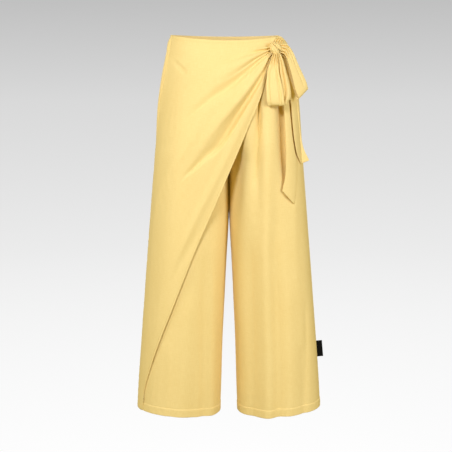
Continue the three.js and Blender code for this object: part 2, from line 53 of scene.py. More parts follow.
# Sizes that are the same as the solids', but for the side seams at the hip, up to 11 mm further forward
SEAM = 0.3
OUTSEAM = 936
BAND = 38
ROUNDNESS = 2.25
DIP = {"front": 12, "back": 4, "from": -60, "to": -220}
SIDE_DIP = {"drop": 26, "from": 120, "to": 150}
HEM_SLANT = 0.06
LEFT_LEG_TURN = math.radians(12)
TURN_TOP = -450
LEG_TOP = {"from": -100, "to": -300}
CROTCH = {"top": -190, "point": -300, "drop": 1.5, "round": 1.3}
CREASE = {"waist": 0.38, "leg": 0.5}
CREASE_FLAT = 0.85
COLUMN_SHARE = {"crotch": 0.12, "crease": 0.4}
WRAP_START = 2.2
WRAP_LIFT = 13
WRAP_LOOSE = {"side": 0.4, "waist": 0.1, "edge": 0.45, "neck": 0.6}
NECK_TOP = 112
NECK_BUNCH = 0.3
KNOT = {"x": 110, "y": -88, "z": -32, "width": 24, "depth": 22, "height": 27}
STRAP_SIDE = 0.95
LABEL = {"width": 15, "height": 41, "thickness": 1.2, "x": 219.8, "y": -9.6, "top": -763, "lean": 0.09}

BODY = table("z half front back seam gap", [
    (0, 141, 92, 90, 26, 0),
    (-41, 151, 98, 98, 37, 0),
    (-99, 163, 106, 112, 39, 0),
    (-158, 171, 110, 123, 37, 0),
    (-236, 177, 110, 126, 30, 0),
    (-316, 183, 108, 118, 22, 0.3),
    (-436, 193, 105, 110, 15, 1),
    (-558, 203, 102, 106, 12, 7.5),
    (-660, 211, 99, 103, 11, 12.5),
    (-764, 219, 97, 100, 10, 17.5),
    (-869, 227, 94, 97, 9, 20.5),
    (-936, 231, 92, 95, 8, 23),
])
# Soft folds, from (x, top) to (end_x, end): x, top, end_x, end, width, rise and, if any, a sway from
# side to side. width may be a pair, for the side toward -X and the side toward +X.
FRONT_FOLDS = [
    (96, -120, 81, -936, 16, 9),
    (73, -130, 66, -400, 9, -6),
    (50, -190, 38, -470, 14, 2.5),
    (50, -430, 42, -936, (20, 14), -6.5),
    (118, -70, 138, -390, 13, -7),
    (113, -380, 100, -936, (11, 16), -4.5),
    (142, -560, 132, -936, 17, 3.5),
    (168, -740, 167, -936, 10, -2.5),
    (-40, -480, -46, -936, 13, 3.5),
    (-57, -500, -64, -936, 11, -5),
    (-96, -600, -122, -936, 20, 4),
]
BACK_FOLDS = [
    (92, -170, 96, -936, (26, 18), 10),
    (52, -240, 58, -936, (18, 10), -8),
    (138, -220, 150, -936, (12, 20), -8),
    (-88, -180, -100, -936, (18, 26), 10),
    (-48, -250, -54, -936, (10, 18), -8),
    (-140, -210, -146, -936, (20, 12), -8),
]
WRAP_EDGE = [
    (-230.5, -930),
    (-214, -931),
    (-208, -882),
    (-182, -792),
    (-137, -667),
    (-80, -515),
    (-30, -399),
    (12, -299),
    (49, -208),
    (76, -138),
    (90, -79),
    (98, -54),
]
STRAP_COLUMNS = "left_x left_z left_y right_x right_z right_y"
FRONT_LOOP = table(STRAP_COLUMNS, [
    (104, -40, -94, 116, -40, -94),
    (97, -62, -99, 115, -64, -101),
    (91, -82, -107, 117, -84, -108),
    (88, -116, -116, 124, -116, -113),
    (89, -146, -121, 129, -146, -116),
    (91, -160, -119, 131, -161, -114),
    (93, -165, -113, 132, -166, -108),
    (94, -160, -107, 137, -159, -101),
    (97, -146, -105, 146, -144, -97),
    (102, -116, -102, 143, -114, -94),
    (106, -82, -96, 134, -80, -90),
    (108, -60, -90, 127, -58, -87),
    (108, -42, -85, 120, -42, -84),
])
SIDE_LOOP = table(STRAP_COLUMNS, [
    (112, -36, -88, 113, -22, -87),
    (131, -44, -86, 136, -21, -76),
    (139.5, -61, -87, 151, -37, -69),
    (149, -92, -89, 166, -70, -70),
    (158, -127, -87, 184, -108, -68),
    (166, -147, -82, 189, -124, -65),
    (164, -154, -77, 190, -128, -60),
    (163, -149, -72, 188, -124, -56),
    (155, -129, -71, 180, -107, -54),
    (144, -95, -72, 162, -72, -55),
    (138, -64, -72, 148, -42, -60),
    (126, -47, -76, 130, -29, -69),
    (112, -37, -81, 112, -26, -80),
])
TAIL_COLUMNS = "left_x left_z right_x right_z lift"
LONG_TAIL = table(TAIL_COLUMNS, [
    (108, -42, 115, -42, 8),
    (111, -55, 120, -55, 7),
    (113, -75, 126, -75, 5),
    (121, -129, 140, -129, 4),
    (131, -170, 147, -191, 4),
    (136, -240, 153, -244, 4),
    (137, -300, 162, -300, 5),
    (135, -335, 162, -352, 5),
    (128, -369, 157, -402, 6),
])
SHORT_TAIL = table(TAIL_COLUMNS, [
    (114, -40, 119, -38, 3),
    (126, -52, 131, -50, 1),
    (137, -77, 146, -73, 2),
    (138, -110, 155, -110, 4),
    (149, -162, 167, -170, 5),
    (154, -215, 172, -222, 6),
    (162, -272, 180, -268, 6),
    (175, -309, 195, -301, 8),
])
TIE_ROOT = table(TAIL_COLUMNS, [
    (115, -3.5, 129, -9, 3),
    (109, -13, 126, -19, 5),
    (106, -26, 118, -28, 10),
])

# Sizes of the finer form
WALL = 0.9  # thickness of one layer of cloth as it shows
HEM = 20  # depth of the leg hems
EDGE_HEM = 12  # and of the wrap's free edge
TOP_STITCH = 7  # from the waist edge to its row of stitches
STITCH = {"pitch": 3.4, "length": 2.5, "radius": 0.27}
POCKET = {"top": -50, "end": -186, "fade": 12, "gape": 1.4}  # the mouth in the right side seam
# At that seam the wrap sinks, and the back stands out beside it, down to where both fade out.
SIDE_LINE = {"groove": -4, "rib": 4.6, "dip": -2.2, "slot": 1.4, "from": -150, "to": -300, "slot_end": -220}
DITCH = {"depth": 0.75, "width": 1.8}  # the cloth sinks so along a seam
PUCKER = {"rise": 0.22, "reach": 9}
RIM_BULGE = 0.45  # of the cloth's thickness
NECK_PLEATS = {"rise": 0.8, "turns": 44, "from": 0.92}
SETTLE = {"sink": 0.4, "soft": 1.6}  # how far below its start the wrap may lie, and how softly it stops
WRAP_LENGTH = 700  # about, from the waist to the free edge
WRAP_WIDTH = 900  # about, along the free edge
STRAP_WALL = 1.3
KNOT_CORE = {"share": 0.92, "least": 0.12, "groove": 1.8}
THREAD_PITCH = 0.00062  # metres

# Finer soft folds of the trousers, with their sway
FINE_FRONT = [
    (152, -330, 170, -700, 9, 1.6, 3),
    (-82, -760, -88, -936, 7, -1.4, 2),
    (-140, -740, -160, -936, 10, 1.5, 3),
    (137, -30, 150, -430, (20, 8), -18, 1),
    (158, -100, 168, -330, (7, 4.5), -8, 0),
    (74, -85, 68, -420, (11, 5), -4, 0),
    (74.5, -95, 72, -265, (4.5, 3), -9, 0),
    (27, -170, 20, -470, (12, 8), -2.5, 0),
    (124, -540, 112, -936, (18, 14), -2, 2),
    (182, -620, 176, -936, (9, 6), -2.2, 2),
]
FINE_BACK = [
    (70, -110, 78, -420, 10, 2.2, 5),
    (118, -90, 120, -360, 9, -2.0, 4),
    (-66, -120, -74, -460, 9, 2.0, 5),
    (-112, -100, -118, -400, 10, -2.2, 4),
    (24, -330, 28, -700, 7, 1.8, 3),
    (-26, -360, -30, -760, 7, 1.6, 3),
    (110, -560, 120, -936, 9, -1.8, 4),
    (-74, -600, -78, -936, 8, 1.8, 3),
    (-164, -520, -178, -936, 9, 1.6, 3),
    (168, -480, 180, -936, 9, 1.8, 3),
]
# The wrap's folds, each a run of places on the fan from the knot out. u is 0 at the side seam and
# 1 at the knot, v is 0 at the waist and 1 at the free edge. up and down are the fold's widths toward
# the waist and toward the free edge, because one side of a fold is steeper. up, down and rise are in
# millimetres.
WRAP_FOLD_COLUMNS = "u v up down rise"
WRAP_FOLDS = [
    [
        (1.0, 0.60, 2.5, 2, -3), (0.97, 0.645, 5, 2.5, -6),
        (0.92, 0.625, 12, 5, -9.5), (0.865, 0.62, 17, 6.5, -11.5),
        (0.78, 0.648, 22, 9, -13), (0.70, 0.662, 26, 10, -12.5),
        (0.62, 0.638, 22, 10, -10), (0.54, 0.59, 16, 8, -7),
        (0.46, 0.56, 12, 7, -5), (0.41, 0.543, 8, 4, -2.5),
        (0.37, 0.535, 8, 5, 0),
    ],
    [
        (1.0, 0.36, 4, 4, 0.5), (0.9, 0.46, 12, 12, 3.5),
        (0.78, 0.49, 20, 16, 8), (0.65, 0.49, 24, 20, 8),
        (0.5, 0.49, 26, 24, 2), (0.38, 0.48, 26, 24, 0),
    ],
    [
        (1.0, 0.24, 2.5, 2, -2.5), (0.945, 0.218, 5, 3.5, -6),
        (0.875, 0.228, 10, 6, -8.5), (0.765, 0.265, 18, 10, -10.5),
        (0.67, 0.279, 20, 12, -10), (0.573, 0.28, 19, 12, -7),
        (0.46, 0.295, 18, 10, -4.5), (0.388, 0.3, 16, 10, -2.5),
        (0.33, 0.302, 16, 12, 0),
    ],
    [
        (0.98, 0.155, 2, 1.5, -3), (0.91, 0.14, 4, 2.5, -4.5),
        (0.85, 0.155, 6, 3, -4), (0.75, 0.18, 8, 4, -2.5),
        (0.6, 0.2, 10, 6, 0),
    ],
    [
        (1.0, 0.09, 2, 1.5, -4), (0.93, 0.084, 3.5, 2, -6),
        (0.86, 0.078, 5, 2.5, -6), (0.76, 0.078, 8, 3.5, -4),
        (0.66, 0.086, 12, 5, -4.5), (0.6, 0.094, 14, 6, -5),
        (0.52, 0.085, 12, 7, -3), (0.42, 0.06, 10, 6, 0),
    ],
    [
        (1.0, 0.055, 1.5, 1.5, -4), (0.96, 0.036, 2.5, 1.5, -4.5),
        (0.91, 0.018, 3, 1.8, -4), (0.84, 0.006, 3, 2, 0),
    ],
    [
        (1.0, 0.072, 1.5, 1.5, 3), (0.94, 0.06, 3, 2.5, 4),
        (0.88, 0.045, 5, 4, 4), (0.8, 0.035, 7, 6, 2.5),
        (0.68, 0.03, 8, 8, 0),
    ],
    [
        (1.0, 0.034, 1.5, 1.5, 3), (0.965, 0.014, 2.5, 2, 3),
        (0.93, 0.004, 2.5, 1.5, 2), (0.87, 0.0, 3, 3, 0),
    ],
    [
        (0.95, 0.115, 3, 3, 1.5), (0.85, 0.115, 7, 7, 2.5),
        (0.7, 0.14, 12, 12, 2), (0.5, 0.16, 14, 14, 0),
    ],
    [
        (0.6, 0.99, 16, 12, 0), (0.52, 0.95, 20, 16, -1),
        (0.4, 0.885, 24, 20, -1.2), (0.25, 0.84, 26, 22, 0),
    ],
    [
        (0.94, 0.8, 8, 8, 0), (0.86, 0.82, 18, 14, 1.5),
        (0.72, 0.84, 26, 20, 3), (0.45, 0.84, 26, 22, 3),
        (0.2, 0.82, 30, 30, 0),
    ],
    [
        (0.55, 0.38, 20, 20, 0), (0.4, 0.42, 26, 26, 2.5),
        (0.2, 0.46, 30, 30, 2.5), (0.08, 0.5, 30, 30, 0),
    ],
    [
        (0.36, 0.36, 14, 8, 0), (0.22, 0.33, 14, 8, -1.8),
        (0.08, 0.3, 12, 8, -1.8), (0.0, 0.29, 10, 8, 0),
    ],
    [
        (0.26, 0.05, 6, 4, 0), (0.18, 0.051, 6, 3, -1.5),
        (0.1, 0.053, 5, 2.5, -3), (0.04, 0.053, 4, 2, -3.5),
        (0.0, 0.053, 3, 2, -3),
    ],
    [
        (0.28, 0.105, 6, 4, 0), (0.24, 0.096, 6, 3.5, -3),
        (0.18, 0.081, 5, 3, -4.2), (0.11, 0.066, 4, 2.5, -3),
        (0.06, 0.058, 4, 3, 0),
    ],
]


def mix(a, b, t):
    return a + (b - a) * t


def smooth(x, low, high):
    t = np.clip((x - low) / (high - low), 0, 1)
    return t * t * (3 - 2 * t)


def hump(x, middle, width):
    """1 at the middle, falling away on both sides."""
    return np.exp(-(((x - middle) / width) ** 2))


def fall(z, start, end):
    """0 above start and 1 below end."""
    return smooth(-np.asarray(z, float), -start, -end)


def ripple(t, seed, count=5):
    """Smooth uneven waves of about 1 at most, with a usual length of 1."""
    total = np.zeros_like(np.asarray(t, float))
    for i in range(count):
        rate = 2 * math.pi * (0.55 + 0.23 * ((i * 0.618 + seed * 0.37) % 1) * (i + 1))
        total = total + np.sin(rate * t + 2.4 * i + 1.7 * seed)
    return total / count ** 0.75


def column(rows, key, name, at):
    """One column of a table, joined smoothly. key names what the rows are ordered by."""
    keys, values = rows[key], rows[name]
    slopes = np.empty_like(values)
    slopes[1:-1] = (values[2:] - values[:-2]) / (keys[2:] - keys[:-2])
    slopes[0] = (values[1] - values[0]) / (keys[1] - keys[0])
    slopes[-1] = (values[-1] - values[-2]) / (keys[-1] - keys[-2])
    down = -1 if keys[0] > keys[-1] else 1
    i = np.clip(np.searchsorted(down * keys, down * np.asarray(at, float)) - 1, 0, len(keys) - 2)
    span = keys[i + 1] - keys[i]
    t = np.clip((at - keys[i]) / span, 0, 1)
    u = 1 - t
    return (
        values[i] * (1 + 2 * t) * u * u
        + slopes[i] * span * t * u * u
        + values[i + 1] * (3 - 2 * t) * t * t
        - slopes[i + 1] * span * t * t * u
    )


def body(name, z):
    return column(BODY, "z", name, z)


def leg_centre(z):
    middle = (body("half", z) + body("gap", z)) / 2
    return np.maximum(fall(z, LEG_TOP["from"], LEG_TOP["to"]) * middle, 1)


def leg_share(z):
    height = np.clip((z - CROTCH["point"]) / (CROTCH["top"] - CROTCH["point"]), 0, 1)
    return np.maximum((1 - height ** CROTCH["drop"]) ** CROTCH["round"], 0.06)


LEVEL_STEP = 2.0
LEVELS = -np.arange(0, OUTSEAM + 1, LEVEL_STEP)
ARC_STEPS = 64


class Lines:
    """One line for each level, read at any level by the distance along it."""

    def __init__(self, x, y):
        run = np.hypot(np.diff(x, axis=1), np.diff(y, axis=1)) + 1e-6
        self.at = np.concatenate([np.zeros((len(x), 1)), np.cumsum(run, axis=1)], axis=1)
        dx = np.gradient(x, axis=1)
        dy = np.gradient(y, axis=1)
        length = np.hypot(dx, dy) + 1e-12
        self.stride = self.at.max() + 50
        self.flat_at = (self.at + self.stride * np.arange(len(x))[:, None]).ravel()
        self.columns = {"x": x, "y": y, "out_x": dy / length, "out_y": -dx / length}

    def read(self, at, z):
        at, z = np.broadcast_arrays(np.asarray(at, float), np.asarray(z, float))
        level = np.clip(-z / LEVEL_STEP, 0, len(self.at) - 1.000001)
        i = np.floor(level).astype(int)
        t = level - i
        out = {}
        for name, values in self.columns.items():
            flat = values.ravel()
            first = np.interp(np.clip(at, 0, self.at[i, -1]) + self.stride * i, self.flat_at, flat)
            i_next = i + 1
            second = np.interp(
                np.clip(at, 0, self.at[i_next, -1]) + self.stride * i_next, self.flat_at, flat
            )
            out[name] = mix(first, second, t)
        return out


def arc(start, end):
    """Superellipse sine and cosine from one angle to another, a row for each level."""
    t = np.linspace(0, 1, ARC_STEPS + 1)
    angle = mix(np.reshape(start, (-1, 1)), np.reshape(end, (-1, 1)), t)
    power = 2 / ROUNDNESS
    return np.clip(np.sin(angle), 0, 1) ** power, np.clip(np.cos(angle), 0, 1) ** power


def at_levels(values):
    return np.asarray(values, float)[:, None]


def make_sections():
    """The sections of the wearer's left half, from the centre front round the side to the back."""
    z = LEVELS
    half, front, back, gap = (at_levels(body(name, z)) for name in ("half", "front", "back", "gap"))
    centre = at_levels(leg_centre(z))
    share = at_levels(leg_share(z))
    crotch = np.arcsin(share ** (ROUNDNESS / 2))
    zero = np.zeros_like(crotch)
    quarter = zero + math.pi / 2
    reach = (centre - gap) / share
    side = half - centre
    s1, c1 = arc(crotch, zero)
    s2, c2 = arc(quarter, zero)
    s3, c3 = arc(zero, quarter)
    s4, c4 = arc(zero, crotch)
    x = np.concatenate([centre - reach * s1, centre + side * c2, centre + side * c3, centre - reach * s4], 1)
    y = np.concatenate([-front * c1, -front * s2, back * s3, back * c4], 1)
    return Lines(x, y)


def distance_to(at, values, limit, start=0):
    """The distance along one line at which a coordinate first passes a limit."""
    rising = values[start] < limit
    i = start + 1 + int(np.argmax((values[start + 1 :] > limit) == rising))
    return mix(at[i - 1], at[i], (limit - values[i - 1]) / (values[i] - values[i - 1]))


SECTIONS = make_sections()
CREASE_SHARE = mix(CREASE["waist"], CREASE["leg"], fall(LEVELS, LEG_TOP["from"], LEG_TOP["to"]))
CREASE_X = body("half", LEVELS) * CREASE_SHARE


def make_marks():
    """Distances along each section to the leg's front crease, side seam, back crease and its end."""
    marks = {"front_crease": [], "seam": [], "back_crease": [], "length": []}
    for i, z in enumerate(LEVELS):
        at, x, y = SECTIONS.at[i], SECTIONS.columns["x"][i], SECTIONS.columns["y"][i]
        beside = int(np.argmax(x > body("half", z) * 0.9))
        widest = 2 * ARC_STEPS + 2
        marks["front_crease"].append(distance_to(at, x, CREASE_X[i]))
        marks["seam"].append(distance_to(at, y, -body("seam", z), beside))
        marks["back_crease"].append(distance_to(at, x, CREASE_X[i], widest))
        marks["length"].append(at[-1])
    return {name: np.array(values) for name, values in marks.items()}


MARKS = make_marks()


def mark(name, z):
    return np.interp(-np.asarray(z, float), -LEVELS, MARKS[name])


def crease_x(z):
    return np.interp(-np.asarray(z, float), -LEVELS, CREASE_X)


def fold_rise(folds, x, z):
    """How far the folds raise the cloth. A row may end in a sway from side to side."""
    total = np.zeros(np.broadcast(x, z).shape)
    for top_x, top, end_x, end, width, rise, *sway in folds:
        t = (z - top) / (end - top)
        tail = 1 if end <= -OUTSEAM else 1 - smooth(t, 0.6, 1)
        middle = mix(top_x, end_x, np.clip(t, 0, 1))
        if sway:
            middle = middle + sway[0] * np.sin(t * 5 + top_x)
        left, right = width if isinstance(width, tuple) else (width, width)
        total = total + rise * smooth(t, 0, 0.25) * tail * skewed(x - middle, left, right)
    return total


def height_of(x, y, z):
    """The waist sinks between the side seams and beside the bow, and the hems are square to the legs."""
    half = body("half", z)
    dip = np.where(y < 0, DIP["front"], DIP["back"])
    dip = dip * (1 - (x / half) ** 2) * (1 - fall(z, DIP["from"], DIP["to"]))
    crushed = SIDE_DIP["drop"] * smooth(x, SIDE_DIP["from"], SIDE_DIP["to"]) * np.maximum(1 + z / BAND, 0)
    outward = np.abs(x) - (half + body("gap", z)) / 2
    return z - dip - crushed + outward * HEM_SLANT * fall(z, -600, -OUTSEAM)


def body_point(side, at, z, folds=(), fine=0.0):
    """Points of the trousers. side is 1 for the wearer's left and -1 for the right."""
    p = SECTIONS.read(at, z)
    facing = np.clip(np.abs(p["out_y"]) * 1.6, 0, 1)
    rise = fold_rise(folds, side * p["x"], z) * facing + fine
    turn = LEFT_LEG_TURN * fall(z, TURN_TOP, -OUTSEAM) if side > 0 else np.zeros_like(p["x"])
    centre = leg_centre(z)
    dx = p["x"] + p["out_x"] * rise - centre
    dy = p["y"] + p["out_y"] * rise
    x = centre + dx * np.cos(turn) - dy * np.sin(turn)
    y = dx * np.sin(turn) + dy * np.cos(turn)
    return np.stack([side * x, y, height_of(side * x, y, z)], axis=-1)


def across(u, crease, middle_x, width):
    """A distance across a panel: u is 0 at its centre seam or inseam, and 1 at its side seam."""
    extra = crease - middle_x * CREASE_FLAT
    low, middle = COLUMN_SHARE["crotch"], COLUMN_SHARE["crease"]
    return np.where(
        u < low,
        extra * u / low,
        np.where(
            u < middle,
            mix(extra, crease, (u - low) / (middle - low)),
            mix(crease, width, (u - middle) / (1 - middle)),
        ),
    )


def near_edges(count, width, close=(0.5, 1.1, 2.0, 3.5, 6.0)):
    """Places from 0 to 1 across a width, closer together near both ends."""
    edge = np.array(close) / width
    middle = np.linspace(edge[-1], 1 - edge[-1], count)[1:-1]
    return np.concatenate([[0], edge, middle, 1 - edge[::-1], [1]])


# The shape that the wrap and the tie lie over
def make_cover():
    z = LEVELS
    half, front = at_levels(body("half", z)), at_levels(body("front", z))
    centre = at_levels(leg_centre(z))
    s, c = arc(0 * centre, 0 * centre + math.pi / 2)
    flat = np.linspace(0, 1, 8)[:-1]
    x = np.concatenate([centre * flat, centre + (half - centre) * s], 1)
    y = np.concatenate([-front * (1 + 0 * flat), -front * c], 1)
    return Lines(x, y)


COVER = make_cover()
COVER_SEAM = np.array(
    [distance_to(COVER.at[i], COVER.columns["y"][i], -body("seam", z), 9) for i, z in enumerate(LEVELS)]
)


def seam_distance(z):
    return np.interp(-np.asarray(z, float), -LEVELS, COVER_SEAM)


def cover_depth(x, z, limit=STRAP_SIDE):
    centre = leg_centre(z)
    share = np.clip((np.abs(x) - centre) / (body("half", z) - centre), 0, limit)
    return body("front", z) * (1 - share ** ROUNDNESS) ** (1 / ROUNDNESS)


def cover_distance(x, z):
    i = int(round(-z / LEVEL_STEP))
    return math.copysign(np.interp(abs(x), COVER.columns["x"][i], COVER.at[i]), x)


def lifted_point(distance, z, lift):
    side = np.where(distance < 0, -1, 1)
    p = COVER.read(np.abs(distance), z)
    x = side * (p["x"] + p["out_x"] * lift)
    return np.stack([x, p["y"] + p["out_y"] * lift, height_of(side * p["x"], p["y"], z)], axis=-1)


def level_of(x, height):
    z = height
    for _ in range(4):
        z = float(np.clip(z + height - height_of(x, -1, z), -OUTSEAM, 0))
    return z


def make_edge():
    rows = []
    for x, height in WRAP_EDGE:
        z = level_of(x, height)
        distance = cover_distance(x, z)
        at = rows[-1][2] + math.hypot(distance - rows[-1][0], z - rows[-1][1]) if rows else 0
        rows.append((distance, z, at))
    return table("distance z at", rows)


EDGE = make_edge()


def edge_place(u):
    at = np.clip(u, 0, 1) * EDGE["at"][-1]
    return column(EDGE, "at", "distance", at), column(EDGE, "at", "z", at)


def wrap_plan(u, v):
    """Distance round the front and level of a place of the wrap, blended between its four borders."""
    u, v = np.broadcast_arrays(np.asarray(u, float), np.asarray(v, float))
    v_in = np.clip(v, 0, 1)
    neck_end = cover_distance(NECK_TOP, 0)
    waist = mix(-seam_distance(0), neck_end, u)
    edge, edge_z = edge_place(u)
    side_z = -OUTSEAM * v_in
    side = -seam_distance(side_z)
    share = v_in ** NECK_BUNCH
    edge_end, edge_end_z = EDGE["distance"][-1], EDGE["z"][-1]
    neck = mix(edge_end, neck_end, (1 - share) ** 2)
    neck_z = mix(0, edge_end_z, share)
    waist_ends = mix(-seam_distance(0), neck_end, u)
    edge_ends = mix(EDGE["distance"][0], edge_end, u)
    edge_ends_z = mix(EDGE["z"][0], edge_end_z, u)
    distance = mix(waist, edge, v) + mix(side, neck, u) - mix(waist_ends, edge_ends, v)
    z = mix(0, edge_z, v) + mix(side_z, neck_z, u) - mix(0, edge_ends_z, v)
    return distance, np.clip(z, -OUTSEAM, 0)


def skewed(off, before, after):
    """A smooth hump that is wider on one side."""
    wide = np.where(off < 0, before, after)
    return hump(off, 0, wide)


def wrap_fold_rise(u, v, scale):
    """scale is the length in millimetres of one unit of v."""
    total = np.zeros(np.broadcast(u, v).shape)
    for fold in WRAP_FOLDS:
        rows = table(WRAP_FOLD_COLUMNS, fold)
        middle, up, down, rise = (column(rows, "u", name, u) for name in ("v", "up", "down", "rise"))
        total = total + rise * skewed((v - middle) * scale, up, down)
    return total


def wrap_loose(u, v):
    return (
        smooth(u, 0, WRAP_LOOSE["side"])
        * smooth(v, 0, WRAP_LOOSE["waist"])
        * (1 - WRAP_LOOSE["edge"] * smooth(v, 0.6, 1))
        * (1 - WRAP_LOOSE["neck"] * smooth(u, 0.75, 1))
    )


def wrap_point(u, v, fine=0.0):
    distance, z = wrap_plan(u, v)
    above_end = 1 - fall(z, SIDE_LINE["from"], SIDE_LINE["slot_end"])
    distance = distance + SIDE_LINE["slot"] * hump(u, 0, 0.012) * above_end
    plain = lifted_point(distance, z, WRAP_START)
    scale = np.linalg.norm(np.gradient(plain, axis=0), axis=-1) / np.gradient(v, axis=0)
    waves = np.sin(v ** 0.8 * NECK_PLEATS["turns"] + 1.5 * np.sin(v * 9))
    pleats = NECK_PLEATS["rise"] * waves * smooth(u, NECK_PLEATS["from"], 1)
    lift = mix(WRAP_START, WRAP_LIFT, wrap_loose(u, v)) + wrap_fold_rise(u, v, scale) + pleats
    above = lift - WRAP_START + SETTLE["sink"]
    settled = WRAP_START - SETTLE["sink"] + (above + np.sqrt(above ** 2 + SETTLE["soft"])) / 2
    return lifted_point(distance, z, settled + fine)


def grid_normals(points, face):
    du = np.gradient(points, axis=1)
    dv = np.gradient(points, axis=0)
    normal = np.cross(du, dv)
    return face * normal / (np.linalg.norm(normal, axis=-1, keepdims=True) + 1e-12)


def down_distance(points):
    """Distances down each column of a grid, from its first row."""
    runs = np.linalg.norm(np.diff(points, axis=0), axis=-1)
    return np.concatenate([np.zeros((1, points.shape[1])), np.cumsum(runs, axis=0)])


def arc_grid(points):
    """Distances along a grid's rows and columns, as UV coordinates in metres."""
    across_run = np.linalg.norm(np.diff(points, axis=1), axis=-1)
    u = np.concatenate([np.zeros((points.shape[0], 1)), np.cumsum(across_run, axis=1)], axis=1)
    v = down_distance(points)
    middle = points.shape[1] // 2
    u = u - u[:, middle : middle + 1]
    return np.stack([u, v], axis=-1) * MM


def make_mesh(name, points, quads, uv, material):
    mesh = bpy.data.meshes.new(name)
    mesh.from_pydata((points * MM).tolist(), [], quads.tolist())
    layer = mesh.uv_layers.new(name="cloth")
    order = np.empty(len(mesh.loops), dtype=np.int32)
    mesh.loops.foreach_get("vertex_index", order)
    layer.data.foreach_set("uv", uv[order].ravel())
    mesh.polygons.foreach_set("use_smooth", np.ones(len(mesh.polygons), dtype=bool))
    mesh.materials.append(material)
    mesh.update()
    obj = bpy.data.objects.new(name, mesh)
    bpy.context.scene.collection.objects.link(obj)
    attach(obj, "root")
    return obj


def shell(name, points, face, material, thickness=WALL):
    """A closed wall of cloth whose outer face is a grid of points. Its rim is rounded."""
    rows, columns = points.shape[:2]
    normals = grid_normals(points, face)
    depth = np.broadcast_to(np.asarray(thickness, float), (rows, columns))[..., None]
    inner = points - normals * depth
    uv = arc_grid(points)
    index = np.arange(rows * columns).reshape(rows, columns)
    a, b, c, d = index[:-1, :-1], index[:-1, 1:], index[1:, 1:], index[1:, :-1]
    outer_quads = np.stack([a, b, c, d], axis=-1).reshape(-1, 4)
    under = rows * columns
    inner_quads = outer_quads[:, ::-1] + under
    rim = np.concatenate([index[0, :-1], index[:-1, -1], index[-1, :0:-1], index[:0:-1, 0]])
    flat, flat_inner = points.reshape(-1, 3), inner.reshape(-1, 3)
    inside = points.copy()
    inside[0], inside[-1] = points[1], points[-2]
    inside[:, 0] = np.where(np.arange(rows)[:, None] % (rows - 1) == 0, inside[:, 1], points[:, 1])
    inside[:, -1] = np.where(np.arange(rows)[:, None] % (rows - 1) == 0, inside[:, -2], points[:, -2])
    away = flat[rim] - inside.reshape(-1, 3)[rim]
    away /= np.linalg.norm(away, axis=1, keepdims=True) + 1e-12
    bulge = (flat[rim] + flat_inner[rim]) / 2 + away * depth.reshape(-1, 1)[rim] * RIM_BULGE
    middle = 2 * under + np.arange(len(rim))
    following = np.roll(np.arange(len(rim)), -1)
    rim_outer = np.stack([rim[following], rim, middle, middle[following]], axis=-1)
    rim_inner = np.stack([middle[following], middle, rim + under, rim[following] + under], axis=-1)
    quads = np.concatenate([outer_quads, inner_quads, rim_outer, rim_inner])
    if face < 0:
        quads = quads[:, ::-1]
    verts = np.concatenate([flat, flat_inner, bulge])
    flat_uv = uv.reshape(-1, 2)
    obj = make_mesh(name, verts, quads, np.concatenate([flat_uv, flat_uv, flat_uv[rim]]), material)
    return obj


def stitches(name, path, normals, material):
    """A row of short threads along a path, lying on the cloth."""
    run = np.linalg.norm(np.diff(path, axis=0), axis=1)
    at = np.concatenate([[0], np.cumsum(run)])
    count = int(at[-1] / STITCH["pitch"])
    starts = (np.arange(count) + 0.2) * STITCH["pitch"]
    along = np.array([0.0, 0.25, 0.75, 1.0])
    wide = np.array([0.35, 1.0, 1.0, 0.35])
    lift = np.array([-0.1, 0.22, 0.22, -0.1])
    places = starts[:, None] + along * STITCH["length"]
    pick = lambda values: np.stack([np.interp(places, at, values[:, k]) for k in range(3)], axis=-1)
    middle, up = pick(path), pick(normals)
    tangent = np.gradient(middle, axis=1)
    tangent /= np.linalg.norm(tangent, axis=-1, keepdims=True)
    across_path = np.cross(up, tangent)
    middle = middle + up * lift[:, None]
    sides = 6
    angle = np.arange(sides) * 2 * math.pi / sides
    ring = (
        across_path[..., None, :] * np.cos(angle)[:, None] + up[..., None, :] * np.sin(angle)[:, None]
    ) * (wide[:, None, None] * STITCH["radius"])
    points = (middle[..., None, :] + ring).reshape(-1, 3)
    base = np.arange(count)[:, None, None] * len(along) * sides
    j = np.arange(len(along) - 1)[:, None] * sides
    k = np.arange(sides)
    nxt = (k + 1) % sides
    quads = np.stack([base + j + k, base + j + nxt, base + j + sides + nxt, base + j + sides + k], axis=-1)
    obj = make_mesh(name, points, quads.reshape(-1, 4), points[:, :2] * MM, material)


# Materials
def new_material(name):
    material = bpy.data.materials.new(name)
    material.use_nodes = True
    nodes, links = material.node_tree.nodes, material.node_tree.links
    return material, nodes, links, nodes["Principled BSDF"]


def set_inputs(node, **values):
    """Sets a node's own inputs by name, where an underscore stands for a space."""
    for name, value in values.items():
        node.inputs[name.replace("_", " ")].default_value = value


def add_node(nodes, kind, **values):
    node = nodes.new("ShaderNode" + kind)
    set_inputs(node, **values)
    return node


def cloth_place(nodes):
    place = add_node(nodes, "UVMap")
    place.uv_map = "cloth"
    return place.outputs["UV"]


def add_bump(nodes, links, height, strength, distance):
    bump = add_node(nodes, "Bump", Strength=strength, Distance=distance)
    links.new(height, bump.inputs["Height"])
    links.new(bump.outputs["Normal"], nodes["Principled BSDF"].inputs["Normal"])


